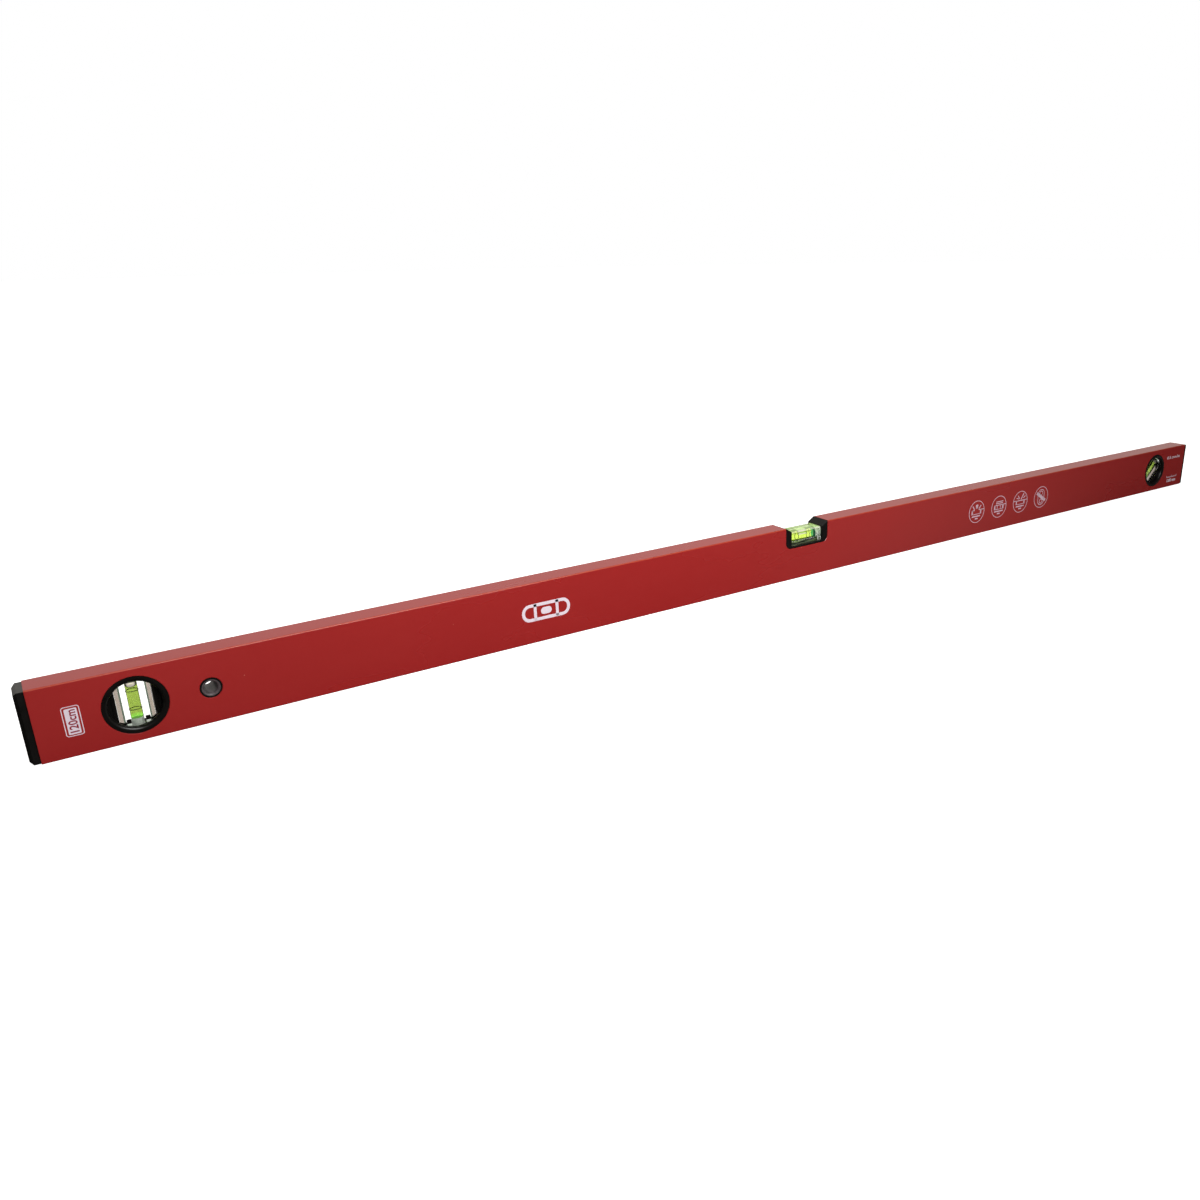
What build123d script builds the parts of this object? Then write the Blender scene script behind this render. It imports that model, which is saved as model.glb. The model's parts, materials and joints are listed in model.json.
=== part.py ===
from build123d import *
import os

# Box-section spirit level, 1200 mm long, with three vials.
# +X runs along the length, +Z is up and the front face looks along -Y.
# The origin is at the middle of the measuring base.

os.makedirs("parts", exist_ok=True)

# ---------------------------------------------------------------- driving dimensions, mm
OVERALL_LENGTH = 1200.0
BODY_HEIGHT = 48.0
BODY_WIDTH = 20.0
MID_HEIGHT = BODY_HEIGHT / 2
FACE = BODY_WIDTH / 2

# aluminium extrusion
CAP_PLATE = 5.7
BODY_LENGTH = OVERALL_LENGTH - 2 * CAP_PLATE
EDGE_RADIUS = 1.0
SIDE_WALL = 1.6
FLANGE = 2.2
WEB = 1.5
UPPER_WEB_TOP = 28.7
CHAMBER_RADIUS = 0.6
HOLE_BREAK = 0.3
NOTCH_BREAK = 0.3

# end caps
CAP_SHRINK = 0.7
CAP_CHAMFER = 2.0
TONGUE_LENGTH = 14.0
TONGUE_WALL = 1.8
TONGUE_GAP = 0.15

# round vial units
PLUMB_X = -540.0
ANGLE_X = 537.0
UNIT_HOLE = 37.5
FIT_GAP = 0.1
SEAM_GAP = 0.05
LIP_WIDTH = 3.8
LIP_DEPTH = 3.4
LIP_INNER_ROUND = 2.2
LIP_OUTER_ROUND = 1.1
SKIRT_WALL = 1.6
CHEEK_DEPTH = 3.8
CHEEK_THICKNESS = 1.6
CHEEK_GROOVE = 0.6
CHEEK_GROOVE_INSET = 2.2
POCKET_WALL = 1.2
BLOCK_WIDTH = 20.4
BLOCK_DEPTH = 13.0
BLOCK_CHAMFER = 3.35
BLOCK_END_RADIUS = 16.6
BLOCK_GAP = 0.15

# vials of the round units, measured along the vial from the hole's centre
BORE_RADIUS = 3.5
BORE_BOTTOM = -11.0
BORE_TOP = 13.0
RING_MIDDLE = 1.0
RING_SPACING = 12.0
RING_WIDTH = 0.5
RING_THICKNESS = 0.2
PLUG_LENGTH = 5.1
PLUG_ROUND = 0.3
BUBBLE_LENGTH = 3.4
BUBBLE_ROUND = 1.2
BUBBLE_GAP = 0.12
WET_GAP = 0.03

# hanging hole
HANG_X = -497.0
HANG_HOLE = 13.5
HANG_BORE_RADIUS = 3.9
HANG_LIP_ROUND = 1.95

# top vial, in a notch of the upper edge
NOTCH_WIDTH = 48.4
NOTCH_FLOOR = 28.8
NOTCH_CORNER = 6.0
WINDOW_WIDTH = 35.3
WINDOW_FLOOR = 30.6
ARM_INNER_TOP = 44.0
FRAME_SINK = 0.1
FRAME_BREAK = 0.25
TOP_BLOCK_LENGTH = 35.0
TOP_BLOCK_DEPTH = 16.0
TOP_BLOCK_TOP = 43.3
TOP_BLOCK_BEVEL = 1.3
TOP_BLOCK_EDGE = 0.4
TOP_BORE_HEIGHT = 36.8
TOP_BORE_RADIUS = 3.5
TOP_BORE_HALF = 13.6
TOP_RING_SPACING = 12.5
TOP_BUBBLE_LENGTH = 11.0
TOP_BUBBLE_ROUND = 3.0
TOP_BUBBLE_FLOOR = 1.5

FRONT = (0, -1, 0)
REAR = (0, 1, 0)


def save(piece, node):
    """Label a finished piece and write it to its own file."""
    piece.part.label = node
    export_step(piece.part, f"parts/{node}.step")


def face_plane(x, side, across=(1, 0, 0)):
    """Plane on the mid-plane at a hole's centre, looking out of the front or the rear.

    Its X runs across the vial and its Y along the vial, the same way up for both sides.
    """
    turn = 1 if side == FRONT else -1
    return Plane((x, 0, MID_HEIGHT), x_dir=tuple(turn * c for c in across), z_dir=side)


def radial_plane(face):
    """Plane through a hole's axis: X is the radius and Y the distance from the mid-plane."""
    return Plane(face.origin, x_dir=face.x_dir, z_dir=-face.y_dir)


def ring_places(middle, spacing):
    """Distances along a vial of its two measuring rings."""
    return middle - spacing / 2, middle + spacing / 2


def bore_cutter(vial, radius, bottom, top, rings):
    """The space of a vial's bore with its two ring grooves."""
    with BuildPart() as bore:
        with BuildSketch(vial):
            with Locations((radius / 2, (bottom + top) / 2)):
                Rectangle(radius, top - bottom)
            for place in rings:
                with Locations(((radius + RING_THICKNESS) / 2, place)):
                    Rectangle(radius + RING_THICKNESS, RING_WIDTH)
        revolve(axis=Axis(vial.origin, vial.y_dir))
    return bore


def ring_pair(vial, radius, rings):
    """Two thin bands that the bubble sits between when the tool is true."""
    with BuildPart() as bands:
        with BuildSketch(vial):
            for place in rings:
                with Locations((radius + RING_THICKNESS / 2, place)):
                    Rectangle(RING_THICKNESS - WET_GAP, RING_WIDTH - WET_GAP)
        revolve(axis=Axis(vial.origin, vial.y_dir))
    return bands


def rod(vial, radius, bottom, top, end_round):
    """Rod on a vial's axis with rounded ends."""
    with BuildPart() as piece:
        with BuildSketch(vial):
            with BuildLine():
                Polyline((0, bottom), (radius, bottom), (radius, top), (0, top), close=True)
            profile = make_face()
            fillet(profile.vertices().group_by(Axis.X)[-1], end_round)
        revolve(axis=Axis(vial.origin, vial.y_dir))
    return piece


def vial_liquid(vial, radius, bottom, top, cavity):
    """Liquid that fills a bore and closes round the bubble's cavity."""
    column = rod(vial, radius - WET_GAP, bottom + WET_GAP, top - WET_GAP, WET_GAP)
    with BuildPart() as liquid:
        add(column.part)
        add(cavity.part, mode=Mode.SUBTRACT)
    return liquid


# ---------------------------------------------------------------- extrusion
chamber_width = BODY_WIDTH - 2 * SIDE_WALL
lower_web_floor = BODY_HEIGHT - UPPER_WEB_TOP
chambers = [
    (FLANGE, lower_web_floor),
    (lower_web_floor + WEB, UPPER_WEB_TOP - WEB),
    (UPPER_WEB_TOP, BODY_HEIGHT - FLANGE),
]

with BuildPart() as body_extrusion:
    with BuildSketch(Plane.YZ.offset(-BODY_LENGTH / 2)):
        with Locations((0, MID_HEIGHT)):
            RectangleRounded(BODY_WIDTH, BODY_HEIGHT, EDGE_RADIUS)
        for low, high in chambers:
            with Locations((0, (low + high) / 2)):
                RectangleRounded(chamber_width, high - low, CHAMBER_RADIUS, mode=Mode.SUBTRACT)
    extrude(amount=BODY_LENGTH)
    # through holes for the two round units and for hanging
    with BuildSketch(Plane.XZ):
        for x, diameter in ((PLUMB_X, UNIT_HOLE), (ANGLE_X, UNIT_HOLE), (HANG_X, HANG_HOLE)):
            with Locations((x, MID_HEIGHT)):
                Circle(diameter / 2)
    extrude(amount=BODY_WIDTH, both=True, mode=Mode.SUBTRACT)
    # the outer rims of the holes are broken
    circles = body_extrusion.edges().filter_by(GeomType.CIRCLE)
    rims = circles.filter_by(lambda e: e.is_closed and abs(abs(e.arc_center.Y) - FACE) < FIT_GAP)
    chamfer(rims, HOLE_BREAK)
    # the notch for the top vial, open upwards
    with BuildSketch(Plane.XZ):
        with Locations((0, NOTCH_FLOOR + BODY_HEIGHT / 2)):
            notch = Rectangle(NOTCH_WIDTH, BODY_HEIGHT)
        fillet(notch.vertices().group_by(Axis.Y)[0], NOTCH_CORNER)
    extrude(amount=BODY_WIDTH, both=True, mode=Mode.SUBTRACT)
    # the notch's rims on both faces are broken too
    near = body_extrusion.edges().filter_by(lambda e: abs(e.center().X) < NOTCH_WIDTH / 2 + FIT_GAP)
    rims = near.filter_by(lambda e: abs(abs(e.center().Y) - FACE) < SEAM_GAP and e.center().Z > NOTCH_FLOOR - FIT_GAP)
    chamfer(rims, NOTCH_BREAK)
save(body_extrusion, "body_extrusion")


# ---------------------------------------------------------------- end caps
def end_cap(side):
    """Cap plate with two hollow tongues that push into the outer chambers."""
    plate_x = side * BODY_LENGTH / 2
    outward = Plane((plate_x, 0, 0), x_dir=(0, side, 0), z_dir=(side, 0, 0))
    inward = Plane((plate_x, 0, 0), x_dir=(0, -side, 0), z_dir=(-side, 0, 0))
    with BuildPart() as cap:
        with BuildSketch(outward):
            with Locations((0, MID_HEIGHT)):
                Rectangle(BODY_WIDTH - 2 * CAP_SHRINK, BODY_HEIGHT - 2 * CAP_SHRINK)
        extrude(amount=CAP_PLATE)
        outer_face = cap.faces().sort_by(Axis.X)[-1 if side > 0 else 0]
        chamfer(outer_face.edges(), CAP_CHAMFER)
        with BuildSketch(inward):
            for low, high in (chambers[0], chambers[-1]):
                width = chamber_width - 2 * TONGUE_GAP
                height = high - low - 2 * TONGUE_GAP
                with Locations((0, (low + high) / 2)):
                    RectangleRounded(width, height, CHAMBER_RADIUS)
                    Rectangle(width - 2 * TONGUE_WALL, height - 2 * TONGUE_WALL, mode=Mode.SUBTRACT)
        extrude(amount=TONGUE_LENGTH)
    return cap


save(end_cap(-1), "left_end_cap")
save(end_cap(1), "right_end_cap")


# ---------------------------------------------------------------- hanging hole
def hang_bush(side):
    """Half of the bush that lines the hanging hole, from the mid-plane to the face."""
    face = face_plane(HANG_X, side)
    outer = HANG_HOLE / 2 - FIT_GAP
    with BuildPart() as bush:
        with BuildSketch(radial_plane(face)):
            with BuildLine():
                Polyline((HANG_BORE_RADIUS, SEAM_GAP), (outer, SEAM_GAP), (outer, FACE),
                         (HANG_BORE_RADIUS, FACE), close=True)
            wall = make_face()
            mouth = wall.vertices().group_by(Axis.Y)[-1]
            fillet(mouth.sort_by(Axis.X)[0], HANG_LIP_ROUND)
        revolve(axis=Axis(face.origin, face.z_dir))
    return bush


save(hang_bush(FRONT), "hang_bush_front")
save(hang_bush(REAR), "hang_bush_rear")


# ---------------------------------------------------------------- round vial units
def unit_housing(face):
    """Half of a round housing: skirt, rounded lip, sunk cheeks and the block's pocket."""
    skirt_outer = UNIT_HOLE / 2 - FIT_GAP
    skirt_inner = skirt_outer - SKIRT_WALL
    lip_inner = skirt_outer - LIP_WIDTH
    lip_floor = FACE - LIP_DEPTH
    cheek_top = FACE - CHEEK_DEPTH
    slot_width = BLOCK_WIDTH + 2 * BLOCK_GAP
    with BuildPart() as housing:
        with BuildSketch(radial_plane(face)):
            with BuildLine():
                Polyline((skirt_inner, SEAM_GAP), (skirt_outer, SEAM_GAP), (skirt_outer, FACE),
                         (lip_inner, FACE), (lip_inner, lip_floor), (skirt_inner, lip_floor), close=True)
            ring = make_face()
            crown = ring.vertices().group_by(Axis.Y)[-1].sort_by(Axis.X)
            fillet(crown[0], LIP_INNER_ROUND)
            rim = ring.vertices().group_by(Axis.Y)[-1].sort_by(Axis.X)
            fillet(rim[-1], LIP_OUTER_ROUND)
        revolve(axis=Axis(face.origin, face.z_dir))
        # one cheek each side of the block, with a groove along it
        with BuildSketch(face.offset(cheek_top - CHEEK_THICKNESS)):
            Circle(skirt_inner + FIT_GAP)
            Rectangle(slot_width, 2 * UNIT_HOLE, mode=Mode.SUBTRACT)
        extrude(amount=CHEEK_THICKNESS)
        with BuildSketch(face.offset(cheek_top - CHEEK_GROOVE)):
            with GridLocations(slot_width + 2 * CHEEK_GROOVE_INSET, 0, 2, 1):
                Rectangle(CHEEK_GROOVE, lip_inner)
        extrude(amount=CHEEK_GROOVE, mode=Mode.SUBTRACT)
        # walls below the cheeks that hold the block sideways
        with BuildSketch(face.offset(SEAM_GAP)):
            Circle(skirt_inner + FIT_GAP)
            Rectangle(slot_width, 2 * UNIT_HOLE, mode=Mode.SUBTRACT)
            with GridLocations(slot_width + 2 * POCKET_WALL + UNIT_HOLE, 0, 2, 1):
                Rectangle(UNIT_HOLE, 2 * UNIT_HOLE, mode=Mode.SUBTRACT)
        extrude(amount=cheek_top - CHEEK_THICKNESS - SEAM_GAP)
    return housing


def unit_block(face):
    """Clear block with bevelled long edges, round ends and the vial's bore."""
    rings = ring_places(RING_MIDDLE, RING_SPACING)
    bore = bore_cutter(face, BORE_RADIUS, -UNIT_HOLE / 2, BORE_TOP, rings)
    with BuildPart() as block:
        with BuildSketch(Plane(face.origin, x_dir=face.x_dir, z_dir=face.y_dir)):
            section = Rectangle(BLOCK_WIDTH, BLOCK_DEPTH)
            chamfer(section.vertices(), BLOCK_CHAMFER)
        extrude(amount=UNIT_HOLE / 2, both=True)
        with BuildSketch(face):
            Circle(BLOCK_END_RADIUS)
        extrude(amount=BLOCK_DEPTH, both=True, mode=Mode.INTERSECT)
        add(bore.part, mode=Mode.SUBTRACT)
    return block


for unit, centre_x, across in (("plumb", PLUMB_X, (1, 0, 0)), ("angle", ANGLE_X, (1, 0, -1))):
    front = face_plane(centre_x, FRONT, across)
    rear = face_plane(centre_x, REAR, across)
    rings = ring_places(RING_MIDDLE, RING_SPACING)
    bubble_top = BORE_TOP - BUBBLE_GAP
    bubble_floor = bubble_top - BUBBLE_LENGTH
    bubble_radius = BORE_RADIUS - BUBBLE_GAP
    cavity = rod(front, bubble_radius, bubble_floor, bubble_top, BUBBLE_ROUND)
    bubble = rod(front, bubble_radius - WET_GAP, bubble_floor + WET_GAP, bubble_top - WET_GAP, BUBBLE_ROUND)
    plug = rod(front, BORE_RADIUS - WET_GAP, BORE_BOTTOM - PLUG_LENGTH, BORE_BOTTOM, PLUG_ROUND)
    save(unit_housing(front), f"{unit}_front_housing")
    save(unit_housing(rear), f"{unit}_rear_housing")
    save(unit_block(front), f"{unit}_vial_block")
    save(ring_pair(front, BORE_RADIUS, rings), f"{unit}_vial_rings")
    save(plug, f"{unit}_vial_plug")
    save(vial_liquid(front, BORE_RADIUS, BORE_BOTTOM, BORE_TOP, cavity), f"{unit}_vial_liquid")
    save(bubble, f"{unit}_bubble")


# ---------------------------------------------------------------- top vial
top_vial = Plane((0, 0, TOP_BORE_HEIGHT), x_dir=(0, 0, 1), z_dir=REAR)
top_rings = ring_places(0, TOP_RING_SPACING)
frame_half = NOTCH_WIDTH / 2 - FIT_GAP
frame_floor = NOTCH_FLOOR + FIT_GAP
window_half = WINDOW_WIDTH / 2

with BuildPart() as level_vial_frame:
    with BuildSketch(Plane.XZ):
        with BuildLine():
            Polyline((-frame_half, frame_floor), (frame_half, frame_floor), (frame_half, BODY_HEIGHT),
                     (window_half, ARM_INNER_TOP), (window_half, WINDOW_FLOOR),
                     (-window_half, WINDOW_FLOOR), (-window_half, ARM_INNER_TOP),
                     (-frame_half, BODY_HEIGHT), close=True)
        yoke = make_face()
        fillet(yoke.vertices().group_by(Axis.Y)[0], NOTCH_CORNER - FIT_GAP)
    extrude(amount=FACE - FRAME_SINK, both=True)
    outline = level_vial_frame.faces().sort_by(Axis.Y)
    chamfer(outline[0].edges() + outline[-1].edges(), FRAME_BREAK)
save(level_vial_frame, "level_vial_frame")

top_bore = bore_cutter(top_vial, TOP_BORE_RADIUS, -TOP_BORE_HALF, TOP_BLOCK_LENGTH, top_rings)
block_floor = WINDOW_FLOOR + BLOCK_GAP
with BuildPart() as level_vial_block:
    with BuildSketch(Plane.YZ):
        with Locations((0, (block_floor + TOP_BLOCK_TOP) / 2)):
            section = Rectangle(TOP_BLOCK_DEPTH, TOP_BLOCK_TOP - block_floor)
        corners = section.vertices().group_by(Axis.Y)
        chamfer(corners[-1], TOP_BLOCK_BEVEL)
        chamfer(corners[0], TOP_BLOCK_EDGE)
    extrude(amount=TOP_BLOCK_LENGTH / 2, both=True)
    ends = level_vial_block.faces().sort_by(Axis.X)
    chamfer(ends[0].edges() + ends[-1].edges(), TOP_BLOCK_EDGE)
    add(top_bore.part, mode=Mode.SUBTRACT)
save(level_vial_block, "level_vial_block")

plug_end = TOP_BLOCK_LENGTH / 2 - WET_GAP
save(rod(top_vial, TOP_BORE_RADIUS - WET_GAP, TOP_BORE_HALF, plug_end, PLUG_ROUND), "level_vial_plug")
save(ring_pair(top_vial, TOP_BORE_RADIUS, top_rings), "level_vial_rings")


def top_bubble(grow):
    """Bubble under the top of the bore: the upper part of a rounded rod, grown on every side."""
    half = TOP_BUBBLE_LENGTH / 2 + grow
    capsule = rod(top_vial, TOP_BORE_RADIUS - BUBBLE_GAP + grow, -half, half, TOP_BUBBLE_ROUND)
    with BuildPart() as bubble:
        add(capsule.part)
        split(bisect_by=Plane.XY.offset(TOP_BORE_HEIGHT + TOP_BUBBLE_FLOOR - grow), keep=Keep.TOP)
    return bubble


save(top_bubble(-WET_GAP), "level_bubble")
save(vial_liquid(top_vial, TOP_BORE_RADIUS, -TOP_BORE_HALF, TOP_BORE_HALF, top_bubble(0)),
     "level_vial_liquid")
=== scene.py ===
"""Visual model of a 1200 mm box-section spirit level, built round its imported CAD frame.

The extrusion, caps, bushes, housings, yoke, rings and plugs are the frame's own solids, dressed in
procedural finishes.  The clear blocks, liquids, bubbles, pads, baffle and the printing on the front
face are modelled here.  Every length is in metres, in the frame's own axes: +X along the tool, +Z up
and the front face looking along -Y.
"""

import json
import logging
import math
import sys
from collections.abc import Callable, Iterator, Sequence
from contextlib import contextmanager
from dataclasses import dataclass
from enum import Enum

import bmesh
import bpy
from mathutils import Matrix, Vector

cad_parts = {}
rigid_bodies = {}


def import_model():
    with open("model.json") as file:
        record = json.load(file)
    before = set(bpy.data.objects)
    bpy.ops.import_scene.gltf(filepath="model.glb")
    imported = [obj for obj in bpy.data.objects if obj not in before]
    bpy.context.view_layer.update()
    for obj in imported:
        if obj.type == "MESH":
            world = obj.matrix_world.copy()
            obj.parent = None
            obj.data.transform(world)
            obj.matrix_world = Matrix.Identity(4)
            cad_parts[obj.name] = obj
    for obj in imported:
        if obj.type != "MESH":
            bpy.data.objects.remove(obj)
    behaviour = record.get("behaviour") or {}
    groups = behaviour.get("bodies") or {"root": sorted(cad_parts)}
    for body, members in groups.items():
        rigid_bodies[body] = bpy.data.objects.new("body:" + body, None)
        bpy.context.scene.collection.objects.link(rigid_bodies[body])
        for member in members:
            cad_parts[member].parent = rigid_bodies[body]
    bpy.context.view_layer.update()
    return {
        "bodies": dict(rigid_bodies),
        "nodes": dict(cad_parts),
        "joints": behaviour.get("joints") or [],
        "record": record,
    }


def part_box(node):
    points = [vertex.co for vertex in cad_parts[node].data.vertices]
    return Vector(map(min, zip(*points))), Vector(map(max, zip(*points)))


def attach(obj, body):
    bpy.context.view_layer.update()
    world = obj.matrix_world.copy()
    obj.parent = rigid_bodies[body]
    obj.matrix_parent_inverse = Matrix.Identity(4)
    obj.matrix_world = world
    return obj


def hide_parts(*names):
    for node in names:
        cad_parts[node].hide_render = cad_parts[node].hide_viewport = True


LOG = logging.getLogger("spirit_level")
MM = 0.001
ROOT_BODY = "level_body"

Piece = bpy.types.Object
Material = bpy.types.Material
Socket = bpy.types.NodeSocket
Feed = Socket | float | Sequence[float]
Pair = tuple[float, float]
Triple = tuple[float, float, float]
Colour = Triple
Slope = tuple[float, float, float, float]
Picker = Callable[[bmesh.types.BMEdge | bmesh.types.BMFace], bool]

# Least cosines to an axis, for a face that looks along it and for one that slants to it.
ALONG = 0.9
SLANTING = 0.6


class Axis(Enum):
    """World axes by name."""

    X = Vector((1.0, 0.0, 0.0))
    Y = Vector((0.0, 1.0, 0.0))
    Z = Vector((0.0, 0.0, 1.0))


# ---------------------------------------- modelling tools


def deselect_all() -> None:
    """Select nothing."""
    bpy.ops.object.select_all(action="DESELECT")


def make_active(*pieces: Piece) -> None:
    """Select objects alone and make the first of them active.

    Args:
        pieces: the objects, at least one.
    """
    deselect_all()
    for piece in pieces:
        piece.select_set(True)
    bpy.context.view_layer.objects.active = pieces[0]


@contextmanager
def editing(piece: Piece, mode: str = "FACE", wanted: Picker | None = None) -> Iterator[None]:
    """Edit mode on one object, with all of it selected or only what passes a test.

    Args:
        piece: the object to edit.
        mode: which elements are picked, VERT, EDGE or FACE.
        wanted: the test for one element, or None to select them all.
    """
    make_active(piece)
    bpy.ops.object.mode_set(mode="EDIT")
    bpy.ops.mesh.select_mode(type=mode)
    bpy.ops.mesh.select_all(action="SELECT" if wanted is None else "DESELECT")
    if wanted is not None:
        mesh = bmesh.from_edit_mesh(piece.data)
        for element in mesh.edges if mode == "EDGE" else mesh.faces:
            if wanted(element):
                element.select_set(True)
        mesh.select_flush_mode()
        bmesh.update_edit_mesh(piece.data)
    yield
    bpy.ops.object.mode_set(mode="OBJECT")


def soften(piece: Piece, width: float, segments: int = 2, angle_deg: float = 30.0) -> None:
    """Round a piece's edges.

    Args:
        piece: the piece.
        width: the bevel's width.
        segments: how many steps stand for the round.
        angle_deg: the bluntest edge that is rounded.
    """
    make_active(piece)
    bevel = piece.modifiers.new("bevel", "BEVEL")
    bevel.width, bevel.segments = width, segments
    bevel.limit_method, bevel.angle_limit = "ANGLE", math.radians(angle_deg)
    bpy.ops.object.modifier_apply(modifier=bevel.name)


def settle(piece: Piece, name: str, place: Matrix, smooth_deg: float = 35.0) -> Piece:
    """Name a finished piece, move its place into its mesh and shade its round stretches smooth.

    Args:
        piece: the finished object.
        name: the piece's name.
        place: where the piece goes, in the frame's axes.
        smooth_deg: the sharpest angle that is still shaded smooth.

    Returns:
        The same object.
    """
    make_active(piece)
    piece.data.transform(place @ piece.matrix_basis)
    piece.matrix_basis = Matrix.Identity(4)
    bpy.ops.object.shade_smooth_by_angle(angle=math.radians(smooth_deg))
    piece.name = piece.data.name = name
    return piece


def join_pieces(pieces: Sequence[Piece]) -> Piece:
    """Join objects into the first of them.

    Args:
        pieces: the objects, at least one.

    Returns:
        The first object, which now holds all the meshes.
    """
    make_active(*pieces)
    if len(pieces) > 1:
        bpy.ops.object.join()
    return pieces[0]


def turned_to(direction: Axis) -> Triple:
    """Euler angles that lay a primitive's Z axis along a world axis."""
    quarter = math.pi / 2
    return {Axis.X: (0.0, quarter, 0.0), Axis.Y: (quarter, 0.0, 0.0), Axis.Z: (0.0, 0.0, 0.0)}[direction]


def add_rod(radius: float, start: float, end: float, direction: Axis, sides: int = 64) -> Piece:
    """Add a round rod on a world axis, with its turn already in its mesh.

    Args:
        radius: the rod's radius.
        start: where the rod starts along the axis.
        end: where it ends.
        direction: the axis.
        sides: how many flat sides stand for the round.

    Returns:
        The rod.
    """
    deselect_all()
    centre = direction.value * ((start + end) / 2)
    bpy.ops.mesh.primitive_cylinder_add(
        vertices=sides, radius=radius, depth=end - start, location=centre, rotation=turned_to(direction)
    )
    bpy.ops.object.transform_apply(location=True, rotation=True, scale=True)
    return bpy.context.object


def add_box(low: Vector, high: Vector) -> Piece:
    """Add a box between two corners.

    Args:
        low: the lowest corner.
        high: the highest corner.

    Returns:
        The box.
    """
    deselect_all()
    bpy.ops.mesh.primitive_cube_add(size=1.0, location=(low + high) / 2, scale=high - low)
    bpy.ops.object.transform_apply(location=True, rotation=True, scale=True)
    return bpy.context.object


def round_ends(rod: Piece, direction: Axis, radius: float, segments: int) -> None:
    """Bevel the two end rims of a rod.

    Args:
        rod: the rod.
        direction: the rod's axis.
        radius: the bevel's radius.
        segments: how many steps stand for the round.
    """

    def on_rim(edge: bmesh.types.BMEdge) -> bool:
        """True for an edge between an end face and the side."""
        ends = [abs(face.normal.dot(direction.value)) > ALONG for face in edge.link_faces]
        return any(ends) and not all(ends)

    with editing(rod, "EDGE", on_rim):
        bpy.ops.mesh.bevel(offset=radius, segments=segments, profile=0.5, affect="EDGES", clamp_overlap=True)


def cut(piece: Piece, point: Sequence[float], normal: Sequence[float], keep_both: bool = False) -> None:
    """Cut a closed piece by a plane.

    Args:
        piece: the piece to cut.
        point: a point of the plane.
        normal: the plane's normal, which points at the side that is cut away.
        keep_both: keep both sides in one, with only a seam between them.
    """
    with editing(piece):
        bpy.ops.mesh.bisect(
            plane_co=point, plane_no=normal, use_fill=not keep_both, clear_outer=not keep_both
        )


# ---------------------------------------- finishes


class NodeSheet:
    """A node tree with short calls, each of which takes sockets or values and gives a socket."""

    def __init__(self, tree: bpy.types.NodeTree) -> None:
        """Start on a tree, emptied first."""
        self.tree = tree
        tree.nodes.clear()

    def feed(self, target: Socket, feed: Feed) -> None:
        """Link a socket to an input, or set the input's own value.

        Args:
            target: the input.
            feed: a socket or a value, which is a triple for a colour.
        """
        if isinstance(feed, Socket):
            self.tree.links.new(feed, target)
        else:
            target.default_value = (*feed, 1.0) if target.type == "RGBA" else feed

    def add(self, kind: str, feeds: dict[str | int, Feed], out: str | int = 0, **settings: str) -> Socket:
        """Add a node and feed its inputs.

        Args:
            kind: the node's type, without its ShaderNode prefix.
            feeds: what goes into each input that isn't left as it is.
            out: the output that is wanted.
            settings: values for the node's own properties.

        Returns:
            The wanted output.
        """
        node = self.tree.nodes.new(f"ShaderNode{kind}")
        for name, value in settings.items():
            setattr(node, name, value)
        for name, feed in feeds.items():
            self.feed(node.inputs[name], feed)
        return node.outputs[out]

    def close(self, kind: str, surface: Socket) -> None:
        """End the tree in an output node of this kind."""
        self.feed(self.tree.nodes.new(f"ShaderNodeOutput{kind}").inputs["Surface"], surface)

    def split(self, vector: Socket) -> list[Socket]:
        """The X, Y and Z of a vector."""
        return list(self.add("SeparateXYZ", {"Vector": vector}).node.outputs)

    def maths(self, operation: str, result: Feed, *others: Feed) -> Socket:
        """Chain a two-value operation over several values.

        Args:
            operation: a Math node's operation.
            result: the first value.
            others: the values that follow.

        Returns:
            The end of the chain.
        """
        for other in others:
            result = self.add("Math", {0: result, 1: other}, operation=operation)
        return result

    def ramp(self, source: Socket, slope: Slope, shape: str = "SMOOTHSTEP") -> Socket:
        """Lead a value from one level to another.

        Args:
            source: the value.
            slope: where the ramp starts and ends, and the result there.
            shape: SMOOTHSTEP or LINEAR.

        Returns:
            The result.
        """
        names = ("From Min", "From Max", "To Min", "To Max")
        feeds = {"Value": source} | dict(zip(names, slope, strict=True))
        return self.add("MapRange", feeds, "Result", interpolation_type=shape)


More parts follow.
